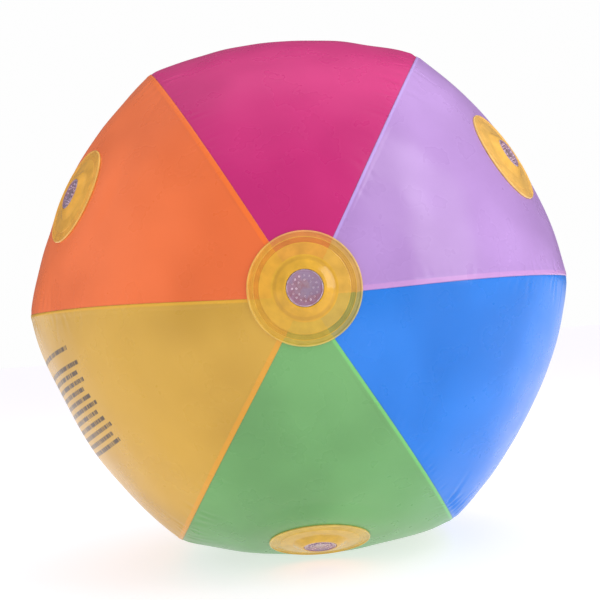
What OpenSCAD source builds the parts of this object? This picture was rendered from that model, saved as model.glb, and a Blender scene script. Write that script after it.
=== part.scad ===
// Inflatable sprinkler beach ball: six welded film panels, moulded spray ports joined by inner
// water lines, a hose inlet at the rear pole and a push-in inflation valve.
// The ball's polar axis lies along Y, front pole towards -Y, and it stands on a flat patch at z = 0.

/* [Ball] */
// Radius of the inflated ball at its seams
seam_r = 305; // [250:5:350]
// Crown of a panel as a share of the seam radius
crown_ratio = 0.955; // [0.93:0.005:0.98]
// Half the distance between the two poles
pole_r = 285; // [235:5:330]
// Depth of the flat patch that the ball rests on
floor_flat = 5; // [4:0.5:8]
// Thickness of the film
film = 0.4; // [0.3:0.05:0.6]
// Width of the lap weld along each seam
lap = 5; // [4:0.5:7]

/* [Spray ports] */
// Radius of a port's welded flange
flange_r = 52.5; // [48:0.5:56]
// Radius of the hole in the film under a port
film_hole_r = 31; // [30:0.5:38]
// Thickness of the moulded flange
flange_t = 0.9; // [0.6:0.1:1.5]
// Height of a port's raised boss
boss_h = 4.5; // [4:0.5:6]
// Radius of the boss at its foot
boss_foot_r = 29.5; // [29:0.5:30]
// Radius of the flat top of the boss
boss_top_r = 18.2; // [18:0.1:19]
// Angle of the side ports from the nearest pole
port_angle = 62.5; // [58:0.5:66]
// How far the orange panel's port stands off the panel's middle, round the axis
orange_port_off = 2.5; // [-3:0.5:3]

/* [Spray roses] */
// Radius of the spray rose
rose_r = 17; // [15:0.5:18]
// Holes in the outer ring
outer_holes = 16; // [12:4:20]
// Radius of the outer ring of holes
outer_ring_r = 11.5; // [10:0.5:13]
// Holes in the inner ring
inner_holes = 8; // [4:2:10]
// Radius of the inner ring of holes
inner_ring_r = 7.6; // [6:0.2:8.6]
// Radius of one spray hole
spray_r = 0.45; // [0.35:0.05:0.6]

/* [Water lines] */
// Outer radius of an inner tube
tube_r = 5; // [4.5:0.5:6]
// Bore radius of an inner tube
tube_bore_r = 3.5; // [3:0.1:4]

/* [Hose inlet] */
// Wall radius of the hose thread in the swivel nut
thread_r = 12.6; // [12.4:0.1:13]
// Length of the hose thread
thread_len = 12; // [10:0.5:14]
// Outer radius of the swivel nut between its ribs
nut_r = 17; // [16:0.5:19]

/* [Inflation valve] */
// Angle of the valve from the front pole
valve_angle = 150; // [146:1:153]
// Outer radius of the sliding stem
stem_r = 6; // [5:0.5:7]
// How far the stem pulls out
stem_travel = 10; // [8:0.5:12]
// Radius of the valve's welded flange
valve_flange_r = 16; // [14:0.5:18]

/* [Hidden] */
// Panels in order round the axis, from +X towards +Z, the first one's middle half a step above +X
PANELS = ["lavender", "magenta", "orange", "yellow", "green", "blue"];
FILM_COLOURS = ["#be96da", "#c83278", "#f07841", "#d2ac4e", "#8ac087", "#288cee"];
// Whether each panel laps under its neighbour at its first and at its second seam
LAPS_UNDER = [[false, false], [true, true], [false, true], [false, false], [true, false], [true, true]];
PORTS = concat(["front"], PANELS);

$fn = 72;
panel_step = 60;
half_step = panel_step / 2;
orange = 2;
yellow = 3;
PORT_COLOUR = "#e4b446";
ROSE_COLOUR = "#a0789a";
SOFT_WHITE = "#e8e6e0";

// The ball's middle above the floor, and the arc that crowns each panel, in seam radii
middle_z = seam_r * crown_ratio - floor_flat;
arc_mid = (1 - pow(crown_ratio, 2)) / (2 * (cos(half_step) - crown_ratio));
arc_r = crown_ratio - arc_mid;

// Grid of a panel: rings from pole to pole, columns across the crown
rings = 32;
columns = 12;
first_ring = asin((film_hole_r + 1) / seam_r);
weld_gap = 0.1;

// Local spheres that the moulded flanges sit on, and how far the film follows them
side_seat_r = 400;
pole_seat_r = 312;
valve_seat_r = 300;
seat_margin = 4;
seat_fade = 34;

// Heights along a port's axis, from the film's surface
socket_r = rose_r + 0.1;
neck_low = -7;
cup_top = -2.8;
cup_flange_low = -9.2;
barb_high = -14;
barb_low = -28;
barb_r = tube_bore_r - 0.05;
barb_bore_r = 2.4;
rose_top = boss_h - 0.4;
rose_t = 1.7;
skirt_low = -1;
seal_wire_r = 0.85;
nub_r = 0.95;
nub_h = 0.5;
hub_r = 17;
hub_barb_end = 38;
tube_start = hub_r + 2.5;

// Heights along the rear pole's axis
stub_r = 9.95;
stub_hole_r = 10;
rear_boss_r = 23.5;
rear_boss_h = 6;
rear_neck_low = -8;
stub_flange_top = 8.5;
stub_neck_r = 10.6;
stub_lip_r = 12.4;
stub_lip_low = 12;
stub_lip_top = 13.8;
stub_barb_low = -34;
nut_low = 8.9;
nut_web_top = 11.6;
undercut_r = 13.4;
undercut_top = 17.2;
nut_top = undercut_top + thread_len;

// Heights along the valve's axis
collar_low = -8;
valve_top = 1.2;
stem_bore_r = 3.3;
stem_low = collar_low - stem_travel - 1.5;
stem_top = 2.8;
plug_low = -4;
tether_low = 3;
tether_top = 3.7;
head_low = 4;
head_top = 5.4;
valve_hole_r = stem_r + 3;

function unit(v) = v / norm(v);
function smooth(t) = let (s = min(1, max(0, t))) s * s * (3 - 2 * s);

// Share of the seam radius at an angle from a panel's middle. Past the seam it follows the next panel.
function gore(psi) =
    let (p = half_step - abs(half_step - abs(psi)))
    arc_mid * cos(p) + sqrt(pow(arc_r, 2) - pow(arc_mid * sin(p), 2));
function mid_dir(k) = half_step + panel_step * k;

// Angle from the front pole, seen from the middle, and distance of a point on a panel's crown line
function crown_tilt(u) = atan2(seam_r * crown_ratio * sin(u), pole_r * cos(u));
function crown_dist(u) = norm([seam_r * crown_ratio * sin(u), pole_r * cos(u)]);
function port_u(k) = k % 2 == 0 ? port_angle : 180 - port_angle;
function port_turn(k) = mid_dir(k) + (k == orange ? orange_port_off : 0);
function direction(u, turn) = let (t = crown_tilt(u)) [sin(t) * cos(turn), sin(t) * sin(turn), cos(t)];

// Film surface in the pole frame, where +Z is towards the front pole and +Y is up
function bare_skin(u, psi, k) =
    let (r = seam_r * sin(u) * gore(psi), turn = mid_dir(k) + psi)
    [r * cos(turn), r * sin(turn), pole_r * cos(u)];

// Pulls a point onto the sphere under a moulded flange whose middle is at dist along dir
function seated(p, dir, dist, sphere_r, reach) =
    let (
        middle = (dist - sphere_r) * dir,
        on_sphere = middle + sphere_r * unit(p - middle),
        share = smooth((reach + seat_fade - norm(p - dist * dir)) / seat_fade))
    p + share * (on_sphere - p);

function on_floor(p) = [p[0], max(p[1], -middle_z), p[2]];

function skin(u, psi, k) =
    let (
        reach = flange_r + seat_margin,
        a = seated(bare_skin(u, psi, k), [0, 0, 1], pole_r, pole_seat_r, reach),
        b = seated(a, [0, 0, -1], pole_r, pole_seat_r, reach),
        c = seated(b, direction(port_u(k), port_turn(k)), crown_dist(port_u(k)), side_seat_r, reach),
        d = k != yellow ? c : seated(c, direction(valve_angle, mid_dir(k)),
            crown_dist(valve_angle), valve_seat_r, valve_flange_r + seat_margin))
    on_floor(d);

// A panel's section: [angle, depth of the top, depth of the underside] of each column.
// On a side where its neighbour lies over it, it steps down and runs on as a lap under the neighbour.
function lap_angle(u) = asin(lap / (seam_r * sin(u)));
function edge(u, laps) =
    let (d = lap_angle(u), under = film + weld_gap, low = under + film)
    laps ? [[half_step - 0.9 * d, 0, low], [half_step - d / 50, 0, low],
            [half_step, under, low], [half_step + d, under, low]]
         : [[half_step, 0, film]];
function mirrored(list) = [for (i = [len(list) - 1 : -1 : 0]) [-list[i][0], list[i][1], list[i][2]]];
function section(u, k) =
    let (inner = half_step - lap_angle(u))
    concat(
        mirrored(edge(u, LAPS_UNDER[k][0])),
        [for (i = [0 : columns]) [-inner + 2 * inner * i / columns, 0, film]],
        edge(u, LAPS_UNDER[k][1]));

function sunk(p, depth) = p - depth * unit(p);

module film_shell(k) {
    us = [for (i = [0 : rings]) first_ring + (180 - 2 * first_ring) * i / rings];
    n = len(section(90, k));
    tops = [for (u = us) for (s = section(u, k)) sunk(skin(u, s[0], k), s[1])];
    lows = [for (u = us) for (s = section(u, k)) sunk(skin(u, s[0], k), s[2])];
    m = len(tops);
    cells = [for (i = [0 : rings - 1]) for (j = [0 : n - 2]) i * n + j];
    faces = concat(
        [for (c = cells) [c, c + 1, c + n + 1]],
        [for (c = cells) [c, c + n + 1, c + n]],
        [for (c = cells) [m + c, m + c + n + 1, m + c + 1]],
        [for (c = cells) [m + c, m + c + n, m + c + n + 1]],
        [for (i = [0 : rings - 1]) [i * n, (i + 1) * n, m + (i + 1) * n, m + i * n]],
        [for (i = [1 : rings]) [i * n - 1, m + i * n - 1, m + (i + 1) * n - 1, (i + 1) * n - 1]],
        [for (j = [0 : n - 2]) [j, m + j, m + j + 1, j + 1]],
        [for (j = [0 : n - 2]) let (c = rings * n + j) [c, c + 1, m + c + 1, m + c]]);
    polyhedron(concat(tops, lows), faces, convexity = 6);
}

// Puts the pole frame in place, and stands children on the film at an angle and turn
module pole_frame() translate([0, 0, middle_z]) rotate([90, 0, 0]) children();

module on_film(u, turn) {
    pole_frame() rotate([0, crown_tilt(u), turn]) translate([0, 0, crown_dist(u)]) children();
}

// Ports are numbered 0 for the front pole, then 1 to 6 for the panels
module at_port(i) {
    if (i == 0) on_film(0, 0) children();
    else on_film(port_u(i - 1), port_turn(i - 1)) children();
}

module ring(r, hole_r, low, high) {
    translate([0, 0, low]) difference() {
        cylinder(r = r, h = high - low);
        translate([0, 0, -1]) cylinder(r = hole_r, h = high - low + 2);
    }
}

// A round hole through the film, turned so that its start line misses the film's grid lines
module film_cut(r) rotate([0, 0, 17]) cylinder(r = r, h = 30, center = true);

module panel(k) {
    color(FILM_COLOURS[k], 0.9) difference() {
        pole_frame() film_shell(k);
        on_film(port_u(k), port_turn(k)) film_cut(film_hole_r);
        if (k == yellow) on_film(valve_angle, mid_dir(k)) film_cut(valve_hole_r);
    }
}

// Moulded flange on a sphere of radius s, with a rounded bead at its rim
function dip(r, s) = sqrt(s * s - r * r) - s;
function flange_top(from_r, s) = [for (r = [from_r : (flange_r - 2.4 - from_r) / 6 : flange_r - 2.3])
    [r, dip(r, s) + flange_t]];
function bead(s) = [for (a = [150 : -30 : 0])
    [flange_r - 1.1 + 1.1 * cos(a), dip(flange_r, s) + flange_t + 1.1 * sin(a)]];
function flange_under(to_r, s) = [for (r = [flange_r : (to_r - flange_r) / 8 : to_r - 0.1])
    [r, dip(r, s)]];

// A boss's flank falls evenly from 0 to 1, and is rounded over the first and the last fifth
function flank(a) = a < 0.2 ? 3.125 * a * a : a > 0.8 ? 1 - 3.125 * pow(1 - a, 2) : 1.25 * (a - 0.1);

module port(i) {
    s = i == 0 ? pole_seat_r : side_seat_r;
    wall = 1.4;
    under = boss_foot_r - 2;
    boss_fall = boss_h - dip(boss_foot_r, s) - flange_t;
    outside = [for (a = [0 : 0.1 : 0.91])
        [boss_top_r + (boss_foot_r - boss_top_r) * a, boss_h - boss_fall * flank(a)]];
    color(PORT_COLOUR, 0.8) at_port(i) rotate_extrude() polygon(concat(
        [[socket_r, neck_low], [socket_r, boss_h]], outside,
        flange_top(boss_foot_r, s), bead(s), flange_under(under, s),
        [[under - 1.6, boss_h - 0.8 * boss_fall - wall], [socket_r + 3, boss_h - 2 * wall],
         [socket_r + wall, boss_h - 2.4 * wall], [socket_r + wall, neck_low]]));
}

module spray_ring(count, ring_r, r, h) {
    for (i = [0 : count - 1]) rotate([0, 0, 360 * i / count]) translate([ring_r, 0, 0])
        cylinder(r = r, h = h, $fn = 20);
}

module rose(i) {
    color(ROSE_COLOUR, 0.85) at_port(i) difference() {
        union() {
            translate([0, 0, rose_top - rose_t]) cylinder(r = rose_r, h = rose_t);
            ring(rose_r, rose_r - 1.6, skirt_low, rose_top - rose_t);
            translate([0, 0, rose_top - 0.5]) {
                spray_ring(outer_holes, outer_ring_r, nub_r, nub_h + 0.5);
                spray_ring(inner_holes, inner_ring_r, nub_r, nub_h + 0.5);
            }
        }
        translate([0, 0, rose_top - rose_t - 1]) {
            spray_ring(outer_holes, outer_ring_r, spray_r, 4);
            spray_ring(inner_holes, inner_ring_r, spray_r, 4);
        }
    }
}

module rose_seals() {
    color("#303236") for (i = [0 : len(PORTS) - 1]) at_port(i)
        rotate_extrude() translate([rose_r - 1, (skirt_low + cup_top) / 2]) circle(r = seal_wire_r, $fn = 24);
}

module cup(i) {
    color(SOFT_WHITE) at_port(i) rotate_extrude() polygon([
        [rose_r - 2, cup_top], [rose_r, cup_top], [rose_r, neck_low - 0.2],
        [rose_r + 2.4, neck_low - 0.2], [rose_r + 2.4, cup_flange_low], [tube_r + 3, barb_high + 1.2],
        [barb_r, barb_high], [barb_r, barb_low], [barb_bore_r, barb_low],
        [barb_bore_r, barb_high + 1], [rose_r - 2, neck_low - 0.5]]);
}

module tube(i) {
    dist = i == 0 ? pole_r : crown_dist(port_u(i - 1));
    color("#d9dde0") at_port(i) translate([0, 0, -dist])
        ring(tube_r, tube_bore_r, tube_start, dist + barb_high - 0.5);
}

module hub_arm(r, reach, i) {
    turn = i == 0 ? [0, 0, 0] : [0, crown_tilt(port_u(i - 1)), port_turn(i - 1)];
    rotate(turn) cylinder(r = r, h = reach, $fn = 40);
}

module water_hub() {
    color(SOFT_WHITE) pole_frame() difference() {
        union() {
            sphere(r = hub_r);
            for (i = [0 : len(PORTS) - 1]) hub_arm(barb_r, hub_barb_end, i);
            rotate([180, 0, 0]) cylinder(r = barb_r, h = hub_barb_end, $fn = 40);
        }
        sphere(r = hub_r - 3);
        for (i = [0 : len(PORTS) - 1]) hub_arm(barb_bore_r, hub_barb_end + 1, i);
        rotate([180, 0, 0]) cylinder(r = barb_bore_r, h = hub_barb_end + 1, $fn = 40);
    }
}

module port_rear() {
    s = pole_seat_r;
    foot = [for (a = [0 : 0.25 : 1])
        [boss_foot_r + 2.5 * a, dip(boss_foot_r, s) + flange_t + 1.8 * pow(1 - a, 2)]];
    color(PORT_COLOUR, 0.8) on_film(180, 0) rotate_extrude() polygon(concat(
        [[stub_hole_r, rear_neck_low], [stub_hole_r, rear_boss_h], [rear_boss_r - 1, rear_boss_h],
         [rear_boss_r, rear_boss_h - 0.8]], foot,
        flange_top(boss_foot_r + 4, s), bead(s), flange_under(boss_foot_r - 2, s),
        [[rear_boss_r - 4, rear_boss_h - 2.2], [stub_hole_r + 3, rear_boss_h - 2.2],
         [stub_hole_r + 3, rear_neck_low]]));
}

module tube_inlet() {
    color("#d9dde0") on_film(180, 0) translate([0, 0, -pole_r])
        ring(tube_r, tube_bore_r, tube_start, pole_r + stub_barb_low + 13);
}

module inlet_stub() {
    bore = 5.5;
    shank_low = stub_barb_low + 14;
    color(SOFT_WHITE) on_film(180, 0) rotate_extrude() polygon([
        [barb_bore_r, stub_barb_low], [barb_r, stub_barb_low], [barb_r, shank_low], [stub_r, shank_low],
        [stub_r, rear_boss_h], [16, rear_boss_h], [16, stub_flange_top], [stub_neck_r, stub_flange_top],
        [stub_neck_r, stub_lip_low], [stub_lip_r, stub_lip_low], [stub_lip_r, stub_lip_top],
        [bore, stub_lip_top],
        [bore, shank_low + 4], [barb_bore_r, shank_low + 2]]);
}

module inlet_locknut() {
    color(SOFT_WHITE) on_film(180, 0) difference() {
        translate([0, 0, rear_neck_low - 5.1]) cylinder(r = 16, h = 5, $fn = 6);
        translate([0, 0, rear_neck_low - 6]) cylinder(r = stub_hole_r, h = 7);
    }
}

module hose_nut() {
    ribs = 18;
    color("#3f7f5c") on_film(180, 0) difference() {
        union() {
            translate([0, 0, nut_low]) cylinder(r = nut_r, h = nut_top - nut_low);
            for (i = [0 : ribs - 1]) rotate([0, 0, 360 * i / ribs])
                translate([nut_r, 0, nut_low + 2]) cylinder(r = 1.2, h = nut_top - nut_low - 4, $fn = 16);
        }
        translate([0, 0, nut_low - 1]) cylinder(r = stub_neck_r + 0.06, h = 8);
        translate([0, 0, nut_web_top]) cylinder(r = undercut_r, h = undercut_top - nut_web_top);
        translate([0, 0, undercut_top - 1]) cylinder(r = thread_r, h = thread_len + 2);
    }
}

module inlet_screen() {
    color("#b9bdc0") on_film(180, 0) difference() {
        translate([0, 0, stub_lip_top + 0.3]) cylinder(r = 12.2, h = 0.6);
        translate([0, 0, stub_lip_top]) {
            cylinder(r = 0.7, h = 2, $fn = 20);
            spray_ring(6, 2.4, 0.7, 2);
            spray_ring(12, 4.8, 0.7, 2);
        }
    }
}

module hose_washer() {
    color("#2c2f33") on_film(180, 0) ring(undercut_r - 0.2, 6.8, stub_lip_top + 1, undercut_top - 0.1);
}

module on_valve() on_film(valve_angle, mid_dir(yellow)) children();

module valve_base() {
    s = valve_seat_r;
    bore = stem_r + 0.05;
    edge = [for (r = [valve_flange_r : -2 : valve_hole_r]) [r, dip(r, s)]];
    color("#eceff0", 0.8) on_valve() rotate_extrude() polygon(concat(
        [[bore, collar_low], [bore, valve_top], [valve_flange_r - 3, valve_top],
         [valve_flange_r, dip(valve_flange_r, s) + 0.6]], edge,
        [[valve_hole_r - 0.4, dip(valve_hole_r, s)], [valve_hole_r - 0.4, collar_low]]));
}

module valve_stem() {
    lip_r = stem_r + 1.4;
    color("#eceff0", 0.8) on_valve() difference() {
        union() {
            translate([0, 0, stem_low]) cylinder(r = stem_r, h = stem_top - stem_low);
            translate([0, 0, stem_low]) cylinder(r = lip_r, h = 1.2);
            translate([0, 0, valve_top + 0.4]) cylinder(r = lip_r, h = stem_top - valve_top - 0.4);
        }
        translate([0, 0, stem_low - 1]) cylinder(r = stem_bore_r, h = stem_top - stem_low + 2);
    }
}

// Ring round the plug's shank, and the strap from it down to the stem's lip
module valve_tether() {
    reach = stem_r + 2.6;
    lip_r = stem_r + 1.4;
    color("#eceff0", 0.8) on_valve() {
        ring(5.2, stem_bore_r + 0.3, tether_low, tether_top);
        translate([4.9, -1.2, tether_low]) cube([reach - 4.9, 2.4, tether_top - tether_low]);
        translate([lip_r, -1.2, valve_top + 0.4]) cube([reach - lip_r, 2.4, tether_low - valve_top]);
    }
}

module valve_plug() {
    color("#eceff0", 0.8) on_valve() {
        translate([0, 0, plug_low]) cylinder(r = stem_bore_r - 0.05, h = head_low - plug_low);
        translate([0, 0, head_low]) cylinder(r = 5.6, h = head_top - head_low);
        translate([-8.6, -1.6, head_low]) cube([4, 3.2, 1]);
    }
}

module check_flap() {
    color("#d5d9dc") on_valve() translate([0, 0, stem_low - 0.9]) {
        cylinder(r = 4.6, h = 0.6);
        translate([-5.6, -2, 0]) cube([2, 4, 0.6]);
    }
}

for (k = [0 : len(PANELS) - 1]) panel(k);
for (i = [0 : len(PORTS) - 1]) {
    port(i);
    rose(i);
    cup(i);
    tube(i);
}
rose_seals();
water_hub();
port_rear();
tube_inlet();
inlet_stub();
inlet_locknut();
hose_nut();
inlet_screen();
hose_washer();
valve_base();
valve_stem();
valve_tether();
valve_plug();
check_flap();
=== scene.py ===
import math

import bmesh
import bpy
import numpy as np
from mathutils import Matrix, Vector

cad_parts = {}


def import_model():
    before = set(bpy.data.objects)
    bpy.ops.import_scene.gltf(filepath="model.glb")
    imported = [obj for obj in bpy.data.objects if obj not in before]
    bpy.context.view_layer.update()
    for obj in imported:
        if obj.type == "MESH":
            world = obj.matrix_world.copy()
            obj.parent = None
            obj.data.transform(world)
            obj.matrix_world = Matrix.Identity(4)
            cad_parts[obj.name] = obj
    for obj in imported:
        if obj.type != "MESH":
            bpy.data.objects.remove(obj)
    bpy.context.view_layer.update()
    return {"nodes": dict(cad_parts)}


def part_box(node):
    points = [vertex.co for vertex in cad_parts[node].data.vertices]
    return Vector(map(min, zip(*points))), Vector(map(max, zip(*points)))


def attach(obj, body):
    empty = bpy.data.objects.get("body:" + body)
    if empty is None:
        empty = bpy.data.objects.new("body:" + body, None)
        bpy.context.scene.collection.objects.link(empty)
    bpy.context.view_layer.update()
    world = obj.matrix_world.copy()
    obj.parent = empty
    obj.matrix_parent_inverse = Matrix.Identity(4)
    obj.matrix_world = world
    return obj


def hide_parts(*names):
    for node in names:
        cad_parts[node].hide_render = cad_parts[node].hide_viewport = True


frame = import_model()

# ---------------------------------------------------------------------------------------------
# Driving dimensions, in metres and degrees, as the CAD has them
# ---------------------------------------------------------------------------------------------
SEAM_R = 0.305  # the ball's radius at its seams
CROWN_RATIO = 0.955  # radius at a panel's crown, as a share of the seam radius
POLE_R = 0.285  # from the middle to either pole
FILM = 0.0004  # film thickness
LAP = 0.005  # width of the lap weld
PANEL_STEP = 60.0
HALF_STEP = PANEL_STEP / 2
PANELS = ["lavender", "magenta", "orange", "yellow", "green", "blue"]
PORTS = ["front"] + PANELS
ORANGE, YELLOW = PANELS.index("orange"), PANELS.index("yellow")
OVER_FIRST = [True, False, True, True, False, False]  # lies over its neighbour at the first seam
OVER_SECOND = [True, False, False, True, True, False]  # and at the second
PORT_ANGLE = 62.5  # side ports, from the nearest pole
ORANGE_PORT_OFF = 2.5  # the orange panel's port stands off the panel's middle
VALVE_ANGLE = 150.0  # inflation valve, from the front pole
FLANGE_R = 0.0525
FLANGE_T = 0.0009
FILM_HOLE_R = 0.031
VALVE_HOLE_R = 0.009
VALVE_FLANGE_R = 0.016
SIDE_SEAT_R, POLE_SEAT_R, VALVE_SEAT_R = 0.4, 0.312, 0.3
SEAT_MARGIN, SEAT_FADE = 0.004, 0.034
BOSS_H, BOSS_FOOT_R, BOSS_TOP_R = 0.0045, 0.0295, 0.0182
ROSE_R = 0.017
ROSE_TOP = BOSS_H - 0.0004
SPRAY_RINGS = ((16, 0.0115), (8, 0.0076))  # holes in each ring of a rose, and the ring's radius

# Shown here only: the ridge of a seam is a little rounded, and the front seams meet off the middle
SEAM_ROUND = 1.2  # degrees over which the ridge is rounded
GATHER, GATHER_FADE = 1.35, 0.25  # how far below the front port they meet, and where that ends

rear_low, rear_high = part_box("port_rear")
MID_Z = (rear_low[2] + rear_high[2]) / 2  # height of the ball's middle
CENTRE = np.array([0, 0, MID_Z])
SEAM_LENGTH_PER_RAD = (SEAM_R + POLE_R) / 2

# Film colours, as sRGB bytes
FILM_RGB = {
    "lavender": (172, 134, 196),
    "magenta": (196, 26, 112),
    "orange": (238, 112, 52),
    "yellow": (204, 160, 52),
    "green": (104, 164, 94),
    "blue": (0, 116, 212),
}
PORT_RGB = (218, 167, 50)
SIDE_PORT_RGB = (234, 180, 66)  # paler, with less of the film's colour in it


def linear(rgb):
    """Scene-linear colour from sRGB bytes."""
    c = np.asarray(rgb, float) / 255
    return np.where(c <= 0.04045, c / 12.92, ((c + 0.055) / 1.055) ** 2.4)


# ---------------------------------------------------------------------------------------------
# The film's surface
# ---------------------------------------------------------------------------------------------
ARC_MID = (1 - CROWN_RATIO**2) / (2 * (math.cos(math.radians(HALF_STEP)) - CROWN_RATIO))
ARC_R = CROWN_RATIO - ARC_MID


def smooth(t):
    """Rises from 0 to 1 as t does, with level ends."""
    s = np.clip(t, 0, 1)
    return s * s * (3 - 2 * s)


def gore(psi):
    """Share of the seam radius at an angle from a panel's middle. The seam's ridge is a little rounded."""
    p = np.radians(HALF_STEP - np.hypot(HALF_STEP - np.abs(psi), SEAM_ROUND))
    return ARC_MID * np.cos(p) + np.sqrt(ARC_R**2 - (ARC_MID * np.sin(p)) ** 2)


def mid_dir(k):
    return HALF_STEP + PANEL_STEP * k


def port_u(k):
    return PORT_ANGLE if k % 2 == 0 else 180 - PORT_ANGLE


def port_turn(k):
    return mid_dir(k) + (ORANGE_PORT_OFF if k == ORANGE else 0)


def crown_tilt(u):
    """Angle from the pole, seen from the ball's middle, of the point at u on a panel's crown."""
    a = math.radians(u)
    return math.atan2(SEAM_R * CROWN_RATIO * math.sin(a), POLE_R * math.cos(a))


def crown_dist(u):
    a = math.radians(u)
    return math.hypot(SEAM_R * CROWN_RATIO * math.sin(a), POLE_R * math.cos(a))


def direction(u, turn):
    t, a = crown_tilt(u), math.radians(turn)
    return np.array([math.sin(t) * math.cos(a), math.sin(t) * math.sin(a), math.cos(t)])


def seated(p, axis, dist, sphere_r, reach):
    """Presses points within reach of where an axis meets the film onto a sphere, and fades out past it."""
    middle = (dist - sphere_r) * axis
    away = p - middle
    on_sphere = middle + sphere_r * away / np.linalg.norm(away, axis=-1, keepdims=True)
    gap = np.linalg.norm(p - dist * axis, axis=-1, keepdims=True)
    return p + smooth((reach + SEAT_FADE - gap) / SEAT_FADE) * (on_sphere - p)


def skin(u, psi, k):
    """Points of panel k in the pole frame: +Z towards the front pole, +Y up, from the ball's middle."""
    ur, turn = np.radians(u), np.radians(mid_dir(k) + psi)
    r = SEAM_R * np.sin(ur) * gore(psi)
    p = np.stack([r * np.cos(turn), r * np.sin(turn), POLE_R * np.cos(ur)], -1)
    reach = FLANGE_R + SEAT_MARGIN
    p = seated(p, np.array([0.0, 0, 1]), POLE_R, POLE_SEAT_R, reach)
    p = seated(p, np.array([0.0, 0, -1]), POLE_R, POLE_SEAT_R, reach)
    p = seated(p, direction(port_u(k), port_turn(k)), crown_dist(port_u(k)), SIDE_SEAT_R, reach)
    if k == YELLOW:
        p = seated(p, direction(VALVE_ANGLE, mid_dir(k)), crown_dist(VALVE_ANGLE), VALVE_SEAT_R,
                   VALVE_FLANGE_R + SEAT_MARGIN)
    return p


def gathered(p):
    """The seams near the front pole meet a little below the port's middle, as welded by hand."""
    turn = math.radians(GATHER) * smooth((GATHER_FADE - np.linalg.norm(p[..., :2], axis=-1)) / GATHER_FADE)
    turn = np.where(p[..., 2] > 0, turn, 0.0)
    c, s = np.cos(turn), np.sin(turn)
    y, z = p[..., 1] * c - p[..., 2] * s, p[..., 1] * s + p[..., 2] * c
    p = np.stack([p[..., 0], y, z], -1)
    return seated(p, np.array([0.0, 0, 1]), POLE_R, POLE_SEAT_R, FLANGE_R + SEAT_MARGIN)


def to_part(p):
    """Points of the pole frame in the frame that the part is packed in."""
    return np.stack([p[..., 0], -p[..., 2], p[..., 1] + MID_Z], -1)


def away_from(p, axis):
    """Distance of pole-frame points from an axis through the middle. Points behind the middle are far."""
    along = p @ axis
    off = np.linalg.norm(p - along[..., None] * axis, axis=-1)
    return np.where(along > 0, off, 1.0)


# Slow dents of an inflated film, the same on both sides of a seam: a few seeded waves in space
dent_rng = np.random.default_rng(11)
DENT_WAVES = [
    (dent_rng.normal(size=3), 2 * math.pi / length, dent_rng.uniform(0, 2 * math.pi), depth)
    for length, depth in [(0.16, 0.0005), (0.13, 0.0005), (0.1, 0.00035), (0.08, 0.0003),
                          (0.062, 0.0002), (0.05, 0.00016), (0.04, 0.0001)]
]


def dents(p):
    total = np.zeros(p.shape[:-1])
    for way, pitch, phase, depth in DENT_WAVES:
        total += depth * np.sin(pitch * (p @ (way / np.linalg.norm(way))) + phase)
    return total


def puckers(along, gap, rng, strength):
    """Height of the gathers that run away from a seam. along is the way down the seam from the
    pole, gap the distance from the seam. They are deepest near the ball's equator."""
    end = math.pi * SEAM_LENGTH_PER_RAD
    pole_margin, deepest = 0.06, 0.0016
    shortest, stretch = 0.012, 0.05
    narrow, wide, widening = 0.0022, 0.0048, 9
    slant_spread = 0.22
    start_gap, start_fade = 0.001, 0.006
    nearest, farthest = 0.006, 0.021
    total = np.zeros(along.shape)
    at = pole_margin
    while at < end - pole_margin:
        middle = math.sin(math.pi * at / end) ** 2
        depth = strength * rng.uniform(0.15, 1.0) ** 1.6 * (0.12 + 0.88 * middle) * deepest
        reach = shortest + stretch * rng.uniform(0.1, 1.0) ** 1.4 * (0.2 + 0.8 * middle)
        width = rng.uniform(narrow, wide) * (1 + 0.3 * middle)
        slant = rng.normal(0, slant_spread)
        x = (along - at - slant * gap) / (width * (1 + widening * gap))
        wave = (1 - 2 * x * x) * np.exp(-x * x)
        total -= depth * wave * smooth(1 - gap / reach) * smooth((gap - start_gap) / start_fade)
        at += rng.uniform(nearest, farthest)
    return total


# ---------------------------------------------------------------------------------------------
# Mesh helpers
# ---------------------------------------------------------------------------------------------
def make_object(name, points, faces, body, replaces, attributes=None):
    """Smooth mesh that rides on a body and stands in for the nodes that it replaces."""
    mesh = bpy.data.meshes.new(name)
    mesh.from_pydata([tuple(map(float, p)) for p in points], [], faces)
    mesh.validate()
    for f in mesh.polygons:
        f.use_smooth = True
    for key, values in (attributes or {}).items():
        values = np.asarray(values, np.float32)
        if values.ndim == 1:
            mesh.attributes.new(key, "FLOAT", "POINT").data.foreach_set("value", values)
        else:
            rgba = np.concatenate([values, np.ones((len(values), 1), np.float32)], 1)
            layer = mesh.color_attributes.new(key, "FLOAT_COLOR", "POINT")
            layer.data.foreach_set("color", rgba.astype(np.float32).ravel())
    obj = bpy.data.objects.new(name, mesh)
    bpy.context.scene.collection.objects.link(obj)
    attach(obj, body)
    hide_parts(*replaces)
    return obj


def smooth_by_angle(obj, degrees):
    """Keeps edges sharper than the angle crisp."""
    obj.data.set_sharp_from_angle(angle=math.radians(degrees))


def close_axis(obj):
    """Merges the points that a lathed profile leaves on its axis."""
    bm = bmesh.new()
    bm.from_mesh(obj.data)
    touching = 1e-7
    bmesh.ops.remove_doubles(bm, verts=bm.verts, dist=touching)
    loose = [e for e in bm.edges if not e.link_faces]
    bmesh.ops.delete(bm, geom=loose, context="EDGES")
    bm.to_mesh(obj.data)
    bm.free()


def place(u, turn):
    """Matrix that stands local +Z on the film at angle u from the front pole and that turn."""
    return (Matrix.Translation((0, 0, MID_Z)) @ Matrix.Rotation(math.pi / 2, 4, "X")
            @ Matrix.Rotation(math.radians(turn), 4, "Z") @ Matrix.Rotation(crown_tilt(u), 4, "Y")
            @ Matrix.Translation((0, 0, crown_dist(u))))


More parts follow.
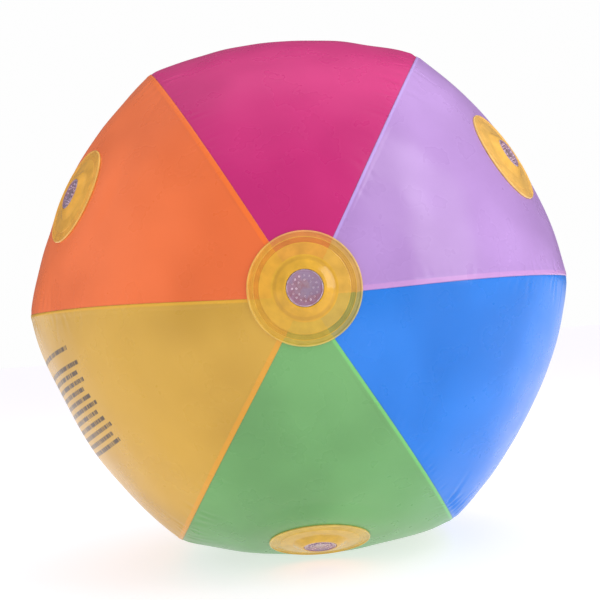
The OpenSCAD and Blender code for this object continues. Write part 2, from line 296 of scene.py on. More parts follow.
def moved(points, matrix):
    m = np.array(matrix)
    return np.asarray(points) @ m[:3, :3].T + m[:3, 3]


def lathe(profile, segments):
    """Closed solid of revolution about Z from a closed profile of (radius, height)."""
    n = len(profile)
    turn = np.arange(segments) * 2 * math.pi / segments
    r, h = np.array(profile).T
    points = np.stack([np.outer(np.cos(turn), r), np.outer(np.sin(turn), r),
                       np.broadcast_to(h, (segments, n))], -1).reshape(-1, 3)
    faces = []
    for i in range(segments):
        a, b = i * n, (i + 1) % segments * n
        faces += [(a + j, b + j, b + (j + 1) % n, a + (j + 1) % n) for j in range(n)]
    return points, faces


def joined(parts):
    """One list of points and one of faces from several."""
    points, faces = [], []
    for p, f in parts:
        start = sum(len(q) for q in points)
        points.append(np.asarray(p))
        faces += [tuple(i + start for i in face) for face in f]
    return np.concatenate(points), faces


def arc(cx, cy, r, start, end, steps):
    """Points of a circle's arc between two angles in degrees."""
    angles = np.radians(np.linspace(start, end, steps))
    return [(cx + r * math.cos(a), cy + r * math.sin(a)) for a in angles]


# ---------------------------------------------------------------------------------------------
# Materials
# ---------------------------------------------------------------------------------------------
class Shader:
    """A node material with short calls for what the surfaces here need."""

    def __init__(self, name):
        self.material = bpy.data.materials.new(name)
        self.material.use_nodes = True
        self.tree = self.material.node_tree
        self.out = self.tree.nodes["Principled BSDF"]
        coords = self.node("ShaderNodeTexCoord")
        self.place = coords.outputs["Object"]

    def node(self, kind, **settings):
        n = self.tree.nodes.new(kind)
        for key, value in settings.items():
            setattr(n, key, value)
        return n

    def feed(self, socket, value):
        if isinstance(value, bpy.types.NodeSocket):
            self.tree.links.new(value, socket)
        else:
            socket.default_value = value

    def set(self, **values):
        for key, value in values.items():
            self.feed(self.out.inputs[key.replace("_", " ")], value)

    def math(self, operation, a, b=0.0):
        n = self.node("ShaderNodeMath", operation=operation)
        self.feed(n.inputs[0], a)
        self.feed(n.inputs[1], b)
        return n.outputs[0]

    def attribute(self, name):
        return self.node("ShaderNodeAttribute", attribute_name=name)

    def noise(self, scale, detail=3.0, rough=0.5):
        n = self.node("ShaderNodeTexNoise")
        self.feed(n.inputs["Vector"], self.place)
        n.inputs["Scale"].default_value = scale
        n.inputs["Detail"].default_value = detail
        n.inputs["Roughness"].default_value = rough
        return n.outputs["Fac"]

    def remap(self, value, low, high, to_low=0.0, to_high=1.0, kind="SMOOTHSTEP"):
        n = self.node("ShaderNodeMapRange", interpolation_type=kind)
        for key, v in (("Value", value), ("From Min", low), ("From Max", high),
                       ("To Min", to_low), ("To Max", to_high)):
            self.feed(n.inputs[key], v)
        return n.outputs["Result"]

    def mix(self, share, a, b, blend="MIX"):
        n = self.node("ShaderNodeMix", data_type="RGBA", blend_type=blend)
        self.feed(n.inputs[0], share)
        self.feed(n.inputs[6], a if isinstance(a, bpy.types.NodeSocket) else (*map(float, a), 1.0))
        self.feed(n.inputs[7], b if isinstance(b, bpy.types.NodeSocket) else (*map(float, b), 1.0))
        return n.outputs[2]

    def bump(self, height, distance, strength):
        n = self.node("ShaderNodeBump")
        n.inputs["Distance"].default_value = distance
        n.inputs["Strength"].default_value = strength
        self.feed(n.inputs["Height"], height)
        self.feed(self.out.inputs["Normal"], n.outputs["Normal"])
        return self


def print_bars(s, colour):
    """Rows of short plain dashes, where the real ball carries small print."""
    rows, blank_row = 13, 1
    pitch, first = 2.157, -22.5  # degrees round the axis
    start, end = 52.0, 83.0  # degrees from the front pole
    lean, fan = 0.11, 0.0108  # the rows' slant, and how much of it each row loses
    solid, clear = 0.2, 0.3  # from a row's middle, in rows
    most_ragged, seed, golden = 3.2, 3.0, 0.618  # how the rows' ends differ
    dashes_a_degree = 3.6
    faintest, darkest = 0.4, 0.95
    ink_rgb = (58, 38, 8)
    u = s.attribute("from_pole").outputs["Fac"]
    turn = s.attribute("turn").outputs["Fac"]
    outward = s.math("SUBTRACT", u, start)
    tilted = s.math("SUBTRACT", turn, s.math("MULTIPLY", outward, lean))
    spacing = s.math("SUBTRACT", pitch, s.math("MULTIPLY", outward, fan))
    count = s.math("DIVIDE", s.math("SUBTRACT", tilted, first), spacing)
    row = s.math("FLOOR", count)
    offset = s.math("ABSOLUTE", s.math("SUBTRACT", s.math("SUBTRACT", count, row), 0.5))
    ink = s.remap(offset, solid, clear, 1.0, 0.0)
    ragged = s.math("FRACT", s.math("MULTIPLY", s.math("ADD", row, seed), golden))
    row_start = s.math("ADD", start, s.math("MULTIPLY", ragged, most_ragged))
    limits = [s.math("GREATER_THAN", row, -0.5), s.math("LESS_THAN", row, rows - 0.5),
              s.math("GREATER_THAN", s.math("ABSOLUTE", s.math("SUBTRACT", row, blank_row)), 0.5),
              s.math("GREATER_THAN", u, row_start), s.math("LESS_THAN", u, end)]
    for limit in limits:
        ink = s.math("MULTIPLY", ink, limit)
    cell = s.node("ShaderNodeCombineXYZ")
    s.feed(cell.inputs[0], s.math("FLOOR", s.math("MULTIPLY", u, dashes_a_degree)))
    s.feed(cell.inputs[1], row)
    dash = s.node("ShaderNodeTexWhiteNoise", noise_dimensions="2D")
    s.feed(dash.inputs["Vector"], cell.outputs[0])
    shade = s.remap(dash.outputs["Value"], 0.12, 0.5, faintest, darkest, "LINEAR")
    return s.mix(s.math("MULTIPLY", ink, shade), colour, linear(ink_rgb))


# Width and colour of the weld seen through the upper film along a seam
BANDS = {
    ("lavender", "to_first"): (0.005, (206, 150, 208)),
    ("lavender", "to_second"): (0.003, (192, 166, 236)),
    ("orange", "to_first"): (0.005, (250, 118, 30)),
    ("yellow", "to_first"): (0.003, (240, 180, 44)),
    ("yellow", "to_second"): (0.0052, (238, 160, 40)),
    ("green", "to_second"): (0.0032, (124, 216, 116)),
}


def film_material(k):
    """Glossy pigmented film with slow and fine mottling, and weld bands and edges along its seams."""
    name = PANELS[k]
    base = linear(FILM_RGB[name])
    s = Shader("film_" + name)
    lighter = base * 1.12 + 0.012
    deeper = base * np.array([0.93, 0.9, 0.93])
    colour = s.mix(s.remap(s.noise(7.0, 2.0), 0.35, 0.65), deeper, lighter)
    colour = s.mix(s.math("MULTIPLY", s.noise(55.0, 3.0), 0.3), colour, base)
    wobble = s.math("MULTIPLY", s.math("SUBTRACT", s.noise(160.0, 2.0), 0.5), 0.0011)
    band_soft, band_share, band_height = 0.0008, 0.55, 0.12
    edge_start, edge_end, edge_share = 0.0002, 0.0009, 0.3
    height = 0.0
    for side in ("to_first", "to_second"):
        gap = s.math("ADD", s.attribute(side).outputs["Fac"], wobble)
        if (name, side) in BANDS:
            width, rgb = BANDS[name, side]
            band = s.remap(gap, width - band_soft, width + band_soft, 1.0, 0.0)
            colour = s.mix(s.math("MULTIPLY", band, band_share), colour, linear(rgb))
            height = s.math("ADD", height, s.math("MULTIPLY", band, band_height))
        edge = s.remap(gap, edge_start, edge_end, 1.0, 0.0)
        colour = s.mix(s.math("MULTIPLY", edge, edge_share), colour, base * 0.6)
    if k == YELLOW:
        colour = print_bars(s, colour)
    s.set(Base_Color=colour, Roughness=s.remap(s.noise(30.0, 3.0), 0.3, 0.7, 0.25, 0.33, "LINEAR"))
    s.set(IOR=1.45, Coat_Weight=0.05, Coat_Roughness=0.1)
    return s.bump(height, 0.0006, 0.35).material


def port_material():
    """Moulded see-through yellow vinyl. The film under it tints it through the mesh's own colours."""
    s = Shader("port_vinyl")
    tint = s.attribute("tint").outputs["Color"]
    cloud = s.remap(s.noise(90.0, 3.0), 0.3, 0.7, 0.9, 1.1, "LINEAR")
    grey = s.node("ShaderNodeCombineXYZ")
    for socket in grey.inputs:
        s.feed(socket, cloud)
    s.set(Base_Color=s.mix(1.0, tint, grey.outputs[0], "MULTIPLY"))
    s.set(Roughness=s.remap(s.noise(140.0, 2.0), 0.3, 0.7, 0.08, 0.15, "LINEAR"))
    s.set(IOR=1.45)
    return s.bump(s.noise(260.0, 3.0), 0.0004, 0.18).material


def rose_material():
    """Smoky mauve see-through plastic with the darker cup showing through it."""
    s = Shader("rose_plastic")
    tint = s.attribute("tint").outputs["Color"]
    streak = s.noise(190.0, 4.0, 0.7)
    colour = s.mix(s.remap(streak, 0.42, 0.62, 0.0, 0.6), tint, linear((142, 84, 96)))
    colour = s.mix(s.remap(s.noise(95.0, 2.0), 0.46, 0.6, 0.0, 0.5), colour, linear((140, 126, 158)))
    s.set(Base_Color=colour, Roughness=s.remap(streak, 0.3, 0.7, 0.1, 0.22, "LINEAR"))
    s.set(IOR=1.49, Coat_Weight=0.6, Coat_Roughness=0.04)
    return s.bump(streak, 0.0003, 0.3).material


def plastic_material(name, rgb, rough, grain=500.0, depth=0.00015):
    """Satin moulded plastic or rubber with a fine grain."""
    s = Shader(name)
    base = linear(rgb)
    colour = s.mix(s.remap(s.noise(35.0, 3.0), 0.3, 0.7), base * 0.93, base * 1.05)
    s.set(Base_Color=colour, Roughness=s.remap(s.noise(grain / 3), 0.3, 0.7, rough * 0.85, rough * 1.15))
    s.set(IOR=1.5)
    return s.bump(s.noise(grain, 3.0), depth, 0.5).material


def steel_material():
    """Brushed sheet steel."""
    s = Shader("screen_steel")
    s.set(Base_Color=s.mix(s.noise(300.0), linear((170, 174, 178)), linear((205, 208, 210))))
    s.set(Metallic=1.0, Roughness=s.remap(s.noise(400.0), 0.3, 0.7, 0.25, 0.4))
    return s.bump(s.noise(800.0), 0.0001, 0.4).material


def clear_material(name, rgb, rough, clear):
    """Soft see-through vinyl. clear is the share of light that passes through."""
    s = Shader(name)
    base = linear(rgb)
    colour = s.mix(s.remap(s.noise(60.0, 3.0), 0.3, 0.7), base * 0.94, base)
    s.set(Base_Color=colour, Roughness=s.remap(s.noise(200.0), 0.3, 0.7, rough, rough * 1.6))
    s.set(IOR=1.5, Transmission_Weight=clear, Coat_Weight=0.3)
    return s.bump(s.noise(320.0, 2.0), 0.0002, 0.2).material


PORT_MATERIAL = port_material()
ROSE_MATERIAL = rose_material()
RUBBER = plastic_material("seal_rubber", (44, 44, 47), 0.55, 900.0)
WHITE_PLASTIC = plastic_material("white_plastic", (228, 226, 218), 0.35)
NUT_PLASTIC = plastic_material("nut_plastic", (58, 122, 92), 0.38, 700.0, 0.0002)
STEEL = steel_material()
CLEAR_TUBE = clear_material("clear_tube", (222, 228, 232), 0.15, 0.5)
VALVE_VINYL = clear_material("valve_vinyl", (236, 240, 242), 0.12, 0.35)


# ---------------------------------------------------------------------------------------------
# Film panels
# ---------------------------------------------------------------------------------------------
ROWS = 420
COLUMNS = 76
HOLE_MARGIN = 0.001
FIRST_U = math.degrees(math.asin((FILM_HOLE_R + HOLE_MARGIN) / SEAM_R))
LAP_LIFT = 0.00045  # how far an upper film's edge stands off the lower film
LAP_STEP = 0.002  # width over which it rises to that
LAP_SHOW = 0.15  # share of it that is left under a port
# Round a port and the valve the film lies smooth, and then it gets free to pucker
CALM_R, SIDE_CALM_FADE, POLE_CALM_FADE = 0.056, 0.03, 0.05
VALVE_CALM_R, VALVE_CALM_FADE = 0.018, 0.02
# How strongly each panel puckers beside its first and its second seam
PUCKER = [(0.6, 0.65), (1.15, 0.75), (0.55, 0.45), (0.5, 0.65), (0.6, 0.5), (1.2, 0.65)]


def lap_angle(u):
    """Angle round the axis that a lap takes up at u."""
    return np.degrees(LAP / (SEAM_R * np.sin(np.radians(u))))


def panel_columns(u, k):
    """Angles of one row's points from the panel's middle, dense near the seams, with the laps that
    run on under a neighbour. u has one value a row."""
    x = np.linspace(-1, 1, COLUMNS + 1)
    inner = HALF_STEP * (0.5 * x + 0.5 * np.sin(0.5 * math.pi * x))
    psi = np.broadcast_to(inner, (len(u), COLUMNS + 1))
    lap = lap_angle(u)[:, None]
    if not OVER_FIRST[k]:
        psi = np.concatenate([-HALF_STEP - lap, -HALF_STEP - lap / 2, psi], 1)
    if not OVER_SECOND[k]:
        psi = np.concatenate([psi, HALF_STEP + lap / 2, HALF_STEP + lap], 1)
    return psi


def grid_normals(p):
    """Outward unit normals of a grid of points."""
    n = np.cross(np.gradient(p, axis=0), np.gradient(p, axis=1))
    n /= np.linalg.norm(n, axis=-1, keepdims=True)
    return n * np.sign((n * p).sum(-1, keepdims=True))


def stillness(p, k):
    """0 where a port or the valve holds panel k smooth, up to 1 where it is free to pucker."""
    calm = smooth((away_from(p, direction(port_u(k), port_turn(k))) - CALM_R) / SIDE_CALM_FADE)
    for pole in (1.0, -1.0):
        calm = calm * smooth((away_from(p, np.array([0, 0, pole])) - CALM_R) / POLE_CALM_FADE)
    if k == YELLOW:
        valve_axis = direction(VALVE_ANGLE, mid_dir(k))
        calm = calm * smooth((away_from(p, valve_axis) - VALVE_CALM_R) / VALVE_CALM_FADE)
    return calm


def cut_hole(points, quads, smooth_points, axis, hole_r):
    """Drops the faces inside a round hole, and moves the points of its rim onto the circle. The
    points are in the part's frame, and smooth_points are the same ones in the pole frame, unpuckered."""
    kept = away_from(smooth_points, axis)[quads].mean(1) > hole_r
    edge = np.intersect1d(quads[kept], quads[~kept])
    part_axis = to_part(axis) - CENTRE
    rel = points[edge] - CENTRE
    height = (rel @ part_axis)[:, None] * part_axis
    radial = rel - height
    points[edge] = CENTRE + height + radial / np.linalg.norm(radial, axis=1, keepdims=True) * hole_r
    return quads[kept]


def panel(k):
    """Film panel with its laps, puckers and holes."""
    u = np.linspace(FIRST_U, 180 - FIRST_U, ROWS + 1)
    psi = panel_columns(u, k)
    grid_u = np.broadcast_to(u[:, None], psi.shape)
    p = gathered(skin(grid_u, psi, k))
    around = np.radians(1) * SEAM_R * np.sin(np.radians(grid_u))
    along = np.radians(grid_u) * SEAM_LENGTH_PER_RAD
    to_first, to_second = (psi + HALF_STEP) * around, (HALF_STEP - psi) * around
    on_first, on_second = np.maximum(to_first, 0), np.maximum(to_second, 0)
    calm = stillness(p, k)
    rng = np.random.default_rng(100 + k)
    lift = puckers(along, on_first, rng, PUCKER[k][0])
    lift += puckers(along, on_second, rng, PUCKER[k][1])
    lift = (lift + dents(p)) * calm
    for gap, over in ((to_first, OVER_FIRST[k]), (to_second, OVER_SECOND[k])):
        if over:
            step = smooth((LAP + LAP_STEP - gap) / LAP_STEP)
            lift = lift + LAP_LIFT * step * (LAP_SHOW + (1 - LAP_SHOW) * calm)
    points = to_part(p + grid_normals(p) * lift[..., None])
    points[..., 2] = np.maximum(points[..., 2], 0.0)  # it rests flat on the floor
    points = points.reshape(-1, 3)

    rows, cols = psi.shape
    index = np.arange(rows * cols).reshape(rows, cols)
    quads = np.stack([index[:-1, :-1], index[1:, :-1], index[1:, 1:], index[:-1, 1:]], -1).reshape(-1, 4)
    quads = cut_hole(points, quads, p.reshape(-1, 3), direction(port_u(k), port_turn(k)), FILM_HOLE_R)
    if k == YELLOW:
        valve_axis = direction(VALVE_ANGLE, mid_dir(k))
        quads = cut_hole(points, quads, p.reshape(-1, 3), valve_axis, VALVE_HOLE_R)
    used, inverse = np.unique(quads, return_inverse=True)
    attributes = {"from_pole": grid_u, "turn": psi, "to_first": on_first, "to_second": on_second}
    attributes = {key: v.ravel()[used] for key, v in attributes.items()}
    name = "film_" + PANELS[k]
    obj = make_object(name, points[used], inverse.reshape(-1, 4).tolist(), "root",
                      ["panel_" + PANELS[k]], attributes)
    thick = obj.modifiers.new("thickness", "SOLIDIFY")
    thick.thickness = FILM
    thick.offset = -1
    obj.data.materials.append(film_material(k))


# ---------------------------------------------------------------------------------------------
# Ports and roses
# ---------------------------------------------------------------------------------------------
PORT_SEGMENTS = 360
WELD_LOW, WELD_HIGH = 0.0412, 0.0466  # the groove's inner and outer radius
FLAT_END_R = 0.0502  # where the bead at a flange's rim begins
GLINT_R = 0.0508  # from here out the bead catches the light
POLE_LOOKS = (1.0, PORT_RGB, 0.0)  # how strongly the film shows, the vinyl's colour, the film's share
SIDE_LOOKS = (0.25, SIDE_PORT_RGB, 0.1)


def dip(r, sphere_r):
    """Height of a sphere's surface at radius r from an axis, below its top."""
    return math.sqrt(sphere_r**2 - r * r) - sphere_r


def weld_ridges(r):
    """Fine rings that the welding tool leaves round a flange, and the shallow groove inside its bead."""
    first_r, ridge_h, ridge_pitch, groove, soft = 0.0400, 0.00008, 0.00183, 0.0003, 0.0006
    share = float(smooth((r - first_r) / 0.001) * smooth((FLAT_END_R - r) / soft))
    ridge = ridge_h * math.cos(2 * math.pi * (r - WELD_LOW) / ridge_pitch)
    sink = -groove * float(smooth((r - WELD_LOW) / soft) * smooth((WELD_HIGH - r) / soft))
    return share * ridge + sink


def flange_profile(sphere_r, foot_r):
    """The flange's top, the bead at its rim, and its underside on the film."""
    bead_r = 0.0011
    top = [(r, dip(r, sphere_r) + FLANGE_T + weld_ridges(r)) for r in np.linspace(foot_r, FLAT_END_R, 70)]
    rim = dip(FLANGE_R, sphere_r) + FLANGE_T
    bead = arc(FLANGE_R - bead_r, rim, bead_r, 150, 0, 12)
    under = [(r, dip(r, sphere_r)) for r in np.linspace(FLANGE_R, BOSS_FOOT_R - 0.002, 12)]
    return top, bead, under


def flank(a):
    """A boss's flank falls evenly from 0 to 1, and is rounded over the first and the last fifth."""
    return 3.125 * a * a if a < 0.2 else 1 - 3.125 * (1 - a) ** 2 if a > 0.8 else 1.25 * (a - 0.1)


def port_profile(sphere_r):
    """Boss round the rose's socket, flange, and the hollow under the boss."""
    socket, under_r, wall, lip_r, low = ROSE_R + 0.0001, BOSS_FOOT_R - 0.002, 0.0014, 0.0004, -0.007
    lip = arc(socket + lip_r, BOSS_H - lip_r, lip_r, 180, 90, 5)
    fall = BOSS_H - dip(BOSS_FOOT_R, sphere_r) - FLANGE_T
    outside = [(BOSS_TOP_R + (BOSS_FOOT_R - BOSS_TOP_R) * a, BOSS_H - fall * flank(a))
               for a in np.linspace(0, 0.97, 34)]
    top, bead, under = flange_profile(sphere_r, BOSS_FOOT_R)
    inner = [(under_r - 0.0016, BOSS_H - 0.8 * fall - wall), (socket + 0.003, BOSS_H - 2 * wall),
             (socket + wall, BOSS_H - 2.4 * wall), (socket + wall, low)]
    return [(socket, low)] + lip + outside + top + bead + under + inner


def port_tints(points, film_of, show, vinyl_rgb, through):
    """Colour of each point of a port: yellow vinyl over the film that film_of finds under it. The
    film shows faintly beside the boss, strongly in the wet look of the weld, and at the rim, and a
    ring of painted shade lies round the boss's foot. show is how strongly, and through is the film's share
    all over."""
    r = np.hypot(points[:, 0], points[:, 1])
    film = np.array([FILM_RGB[film_of(x, y)] for x, y in points[:, :2]], float)
    base = (1 - through) * np.array(vinyl_rgb, float) + through * film
    soaked = 0.25 * film + 0.75 * base * film / 255
    everywhere, glint_rgb = 1.0, np.array([248, 220, 150])
    boss = base * np.array([1.0, 0.99, 0.94])
    # foot is painted shade: the vinyl is darkened in a ring round the boss's foot
    foot = base * (1 - show * np.array([0.06, 0.08, 0.1]))
    inner = base + 0.1 * show * (film - base)
    weld = base + 0.32 * show * (soaked - base)
    rim = base + show * (0.98 * base + 0.24 * (film - base) - base)

    def zone(from_r, to_r, soft=0.0005):
        return (smooth((r - from_r) / soft) * smooth((to_r - r) / soft))[:, None]

    rgb = base + zone(0.0, BOSS_FOOT_R + 0.0012, 0.0015) * (boss - base)
    # Painted shade in a ring round the boss's foot
    rgb += zone(BOSS_FOOT_R - 0.0046, BOSS_FOOT_R + 0.0004, 0.0018) * (foot - boss)
    rgb += zone(BOSS_FOOT_R + 0.0008, WELD_LOW) * (inner - base)
    rgb += zone(WELD_LOW, WELD_HIGH) * (weld - base)
    rgb += zone(WELD_HIGH, everywhere) * (rim - base)
    rgb += zone(GLINT_R, everywhere) * 0.3 * (glint_rgb - rgb)
    return linear(rgb)


def pole_film(front):
    """Finds the film's name under a point of a pole port. At the front the seams meet off its middle."""
    low = POLE_R * math.tan(math.radians(GATHER)) if front else 0.0

    def film_of(x, y):
        turn = math.degrees(math.atan2(y + low, x if front else -x)) % 360
        return PANELS[int(turn // PANEL_STEP) % len(PANELS)]
    return film_of


def port_place(i):
    """Matrix of port number i."""
    return place(0, 0) if i == 0 else place(port_u(i - 1), port_turn(i - 1))


def port(i):
    """Moulded port number i: the front pole's, or a panel's."""
    name = PORTS[i]
    pole = i == 0
    sphere_r = POLE_SEAT_R if pole else SIDE_SEAT_R
    points, faces = lathe(port_profile(sphere_r), PORT_SEGMENTS)
    film_of = pole_film(True) if pole else (lambda x, y: name)
    tints = port_tints(points, film_of, *(POLE_LOOKS if pole else SIDE_LOOKS))
    obj = make_object("port_vinyl_" + name, moved(points, port_place(i)), faces, "root",
                      ["port_" + name], {"tint": tints})
    obj.data.materials.append(PORT_MATERIAL)


def port_rear():
    """Rear pole port: a boss with a neck for the hose inlet in place of a rose's socket."""
    hole_r, boss_h, neck_wall, neck_low = 0.010, 0.006, 0.003, -0.008
    foot_r, shoulder_at, shoulder_r, lip_r = BOSS_FOOT_R + 0.0035, 0.0215, 0.002, 0.0005
    hollow_r, hollow_h = 0.0195, 0.0036
    foot_h = dip(BOSS_FOOT_R, POLE_SEAT_R) + FLANGE_T
    top, bead, under = flange_profile(POLE_SEAT_R, foot_r)
    lip = arc(hole_r + lip_r, boss_h - lip_r, lip_r, 180, 90, 4)
    shoulder = arc(shoulder_at, boss_h - shoulder_r, shoulder_r, 90, 35, 8)
    last_r, last_h = shoulder[-1]
    foot = [(last_r + (foot_r - last_r) * a, foot_h + (last_h - foot_h) * (1 - a) ** 1.8)
            for a in np.linspace(0.1, 0.95, 14)]
    inner = [(hollow_r, hollow_h), (hole_r + neck_wall, hollow_h), (hole_r + neck_wall, neck_low)]
    profile = [(hole_r, neck_low)] + lip + shoulder + foot + top + bead + under + inner
    points, faces = lathe(profile, PORT_SEGMENTS)
    tints = port_tints(points, pole_film(False), *POLE_LOOKS)
    obj = make_object("port_vinyl_rear", moved(points, place(180, 0)), faces, "root",
                      ["port_rear"], {"tint": tints})
    obj.data.materials.append(PORT_MATERIAL)


PLATE_TOP = ROSE_TOP - 0.0002


def nub_profile():
    """A small dome with a drilled middle."""
    hole, r, h, low, dome_r = 0.00042, 0.00095, 0.00058, -0.0003, 0.0005
    dome = arc(r - dome_r, h - dome_r, dome_r, 90, 0, 5)
    return [(hole, low), (hole, h)] + dome + [(r, low)]


def rose_profile():
    """Plate with a raised ring near its rim, and the skirt that goes into the port."""
    rim, skirt_low, skirt_wall, plate_low = ROSE_R - 0.0001, -0.001, 0.0015, ROSE_TOP - 0.0017
    ring_at, ring_r, edge_r = 0.0160, 0.0007, 0.0004
    ring = arc(ring_at, PLATE_TOP, ring_r, 165, 15, 9)
    edge = arc(rim - edge_r, PLATE_TOP - 0.0003, edge_r, 60, 0, 4)
    return ([(0.0, plate_low + 0.0002), (0.0, PLATE_TOP), (0.0149, PLATE_TOP)] + ring + edge
            + [(rim, skirt_low), (rim - skirt_wall, skirt_low), (rim - skirt_wall, plate_low)])


def rose(i):
    """Spray rose of port number i, with a nub at each of its holes."""
    name = PORTS[i]
    plate = lathe(rose_profile(), 144)
    parts = [plate]
    nub_points, nub_faces = lathe(nub_profile(), 20)
    for count, ring_r in SPRAY_RINGS:
        for turn in np.arange(count) * 2 * math.pi / count:
            at = np.array([ring_r * math.cos(turn), ring_r * math.sin(turn), PLATE_TOP])
            parts.append((nub_points + at, nub_faces))
    points, faces = joined(parts)
    plate_rgb, centre_rgb = (152, 110, 134), (150, 132, 132)
    rim_rgb, nub_rgb = (200, 180, 198), (240, 208, 224)
    r = np.hypot(points[:, 0], points[:, 1])
    tint = np.tile(linear(plate_rgb), (len(points), 1))
    centre = smooth((0.0045 - r) / 0.002)[:, None]
    tint += (linear(centre_rgb) - tint) * centre * 0.6
    rim = smooth((r - 0.0157) / 0.0004)[:, None]
    tint += (linear(rim_rgb) - tint) * rim
    tint[len(plate[0]):] = linear(nub_rgb)
    obj = make_object("rose_plate_" + name, moved(points, port_place(i)), faces, "root",
                      ["rose_" + name], {"tint": tint})
    close_axis(obj)
    obj.data.materials.append(ROSE_MATERIAL)


# ---------------------------------------------------------------------------------------------
# Hose nut and inflation valve
# ---------------------------------------------------------------------------------------------
def hose_nut():
    """Swivel nut: web with a hole, undercut for the washer, hose thread, chamfers and grip ribs."""
    low, web_top, undercut_top, top = 0.0089, 0.0116, 0.0172, 0.0292
    web_hole_r, undercut_r, thread_r, outer_r = 0.01066, 0.0134, 0.0126, 0.017
    pitch, thread_depth, chamfer = 0.00221, 0.0007, 0.0007
    ribs, rib_h = 18, 0.0011
    thread_z = np.linspace(undercut_top + 0.0001, top - chamfer, 100)
    side_z = np.linspace(top - chamfer, low + chamfer, 24)
    inside = [(web_hole_r, low), (web_hole_r, web_top), (undercut_r, web_top), (undercut_r, undercut_top)]
    outside = [(thread_r + chamfer, top), (outer_r - chamfer, top)]
    profile = (inside + [(thread_r, z) for z in thread_z] + outside + [(outer_r, z) for z in side_z]
               + [(outer_r - chamfer, low)])
    segments = 432
    points, faces = lathe(profile, segments)
    grid = points.reshape(segments, len(profile), 3)
    turn = np.arange(segments)[:, None] / segments
    flat = np.ones((segments, len(profile)))
    cut = slice(len(inside), len(inside) + len(thread_z))
    phase = (thread_z[None, :] / pitch - turn) % 1
    groove = smooth((0.5 - np.abs(phase - 0.5)) / 0.3)
    ends = smooth((thread_z - undercut_top) / 0.001) * smooth((top - chamfer - thread_z) / 0.001)
    flat[:, cut] += groove * ends * thread_depth / thread_r
    wall = slice(len(profile) - 1 - len(side_z), len(profile) - 1)
    bump = smooth((np.cos(2 * math.pi * ribs * turn) - 0.15) / 0.45)
    fade = smooth((top - 0.0018 - side_z) / 0.0012) * smooth((side_z - low - 0.0018) / 0.0012)
    flat[:, wall] += bump * fade * rib_h / outer_r
    grid[..., :2] *= flat[..., None]
    obj = make_object("hose_nut_threaded", moved(grid.reshape(-1, 3), place(180, 0)), faces, "hose_nut",
                      ["hose_nut"])
    obj.data.materials.append(NUT_PLASTIC)
    smooth_by_angle(obj, 35)


def valve_base():
    """Welded flange of the inflation valve, dished a little, with its collar and a rounded rim."""
    bore, collar_low, top, hole_r = 0.00605, -0.008, 0.0012, VALVE_HOLE_R - 0.0004
    edge_r, edge_t, slope_low, slope_wide, flat_r, lip_r = 0.0004, 0.0008, 0.0152, 0.0042, 0.0075, 0.0003
    rim_h = dip(VALVE_FLANGE_R, VALVE_SEAT_R)
    rim = arc(VALVE_FLANGE_R - edge_r, rim_h + edge_r, edge_r, 70, -20, 7)
    rise = [(r, rim_h + edge_t + (top - rim_h - edge_t) * float(smooth((slope_low - r) / slope_wide)))
            for r in np.linspace(flat_r, slope_low, 20)]
    under = [(r, dip(r, VALVE_SEAT_R)) for r in np.linspace(VALVE_FLANGE_R - 0.0005, VALVE_HOLE_R, 8)]
    lip = arc(bore + lip_r, top - lip_r, lip_r, 180, 90, 4)
    profile = ([(bore, collar_low)] + lip + rise + rim + under
               + [(hole_r, dip(hole_r, VALVE_SEAT_R)), (hole_r, collar_low)])
    points, faces = lathe(profile, 144)
    obj = make_object("valve_flange", moved(points, place(VALVE_ANGLE, mid_dir(YELLOW))), faces, "root",
                      ["valve_base"])
    obj.data.materials.append(VALVE_VINYL)
    smooth_by_angle(obj, 40)


def slab(x0, x1, half_w, low, high):
    """Flat tab along X with a round end at x0 and rounded long edges."""
    soft, steps = 0.00025, 13
    outline = [(x0 + half_w + half_w * math.cos(a), half_w * math.sin(a))
               for a in np.linspace(math.pi / 2, 3 * math.pi / 2, steps)]
    outline += [(x1, -half_w), (x1, half_w)]
    middle = np.array([(x0 + x1) / 2, 0.0])
    layers = [(1 - soft / half_w, low), (1.0, low + soft), (1.0, high - soft), (1 - soft / half_w, high)]
    points = [(*(middle + (np.array(p) - middle) * share), h) for share, h in layers for p in outline]
    n = len(outline)
    faces = [(a * n + j, a * n + (j + 1) % n, (a + 1) * n + (j + 1) % n, (a + 1) * n + j)
             for a in range(len(layers) - 1) for j in range(n)]
    faces += [tuple(range(n))[::-1], tuple(range((len(layers) - 1) * n, len(layers) * n))]
    return np.array(points), faces


def valve_plug():
    """Ribbed plug with a domed head and a thumb tab."""
    shank_r, low, head_low, head_top, head_r = 0.00325, -0.004, 0.004, 0.0054, 0.0056
    shank = [(0.0, low), (shank_r - 0.0006, low), (shank_r, low + 0.0008), (shank_r, 0.0006),
             (shank_r - 0.0004, 0.0009), (shank_r - 0.0004, 0.0016), (shank_r, 0.0019), (shank_r, head_low)]
    head = arc(head_r - 0.0005, head_low + 0.0005, 0.0005, -90, 0, 5)
    dome = arc(head_r - 0.0006, head_top - 0.0006, 0.0006, 0, 80, 6)
    dished = [(r, head_top - 0.0004 * float(smooth((0.0042 - r) / 0.002)))
              for r in (0.0043, 0.0036, 0.0026, 0.0)]
    plug = lathe((shank + head + dome + dished)[::-1], 96)
    tab = slab(-0.0086, -0.0048, 0.0016, head_low, head_low + 0.001)
    points, faces = joined([plug, tab])
    obj = make_object("valve_plug_moulded", moved(points, place(VALVE_ANGLE, mid_dir(YELLOW))), faces,
                      "valve_plug", ["valve_plug"])
    close_axis(obj)
    obj.data.materials.append(VALVE_VINYL)
    smooth_by_angle(obj, 40)


for k in range(len(PANELS)):
    panel(k)
for i in range(len(PORTS)):
    port(i)
    rose(i)
port_rear()
hose_nut()
valve_base()
valve_plug()

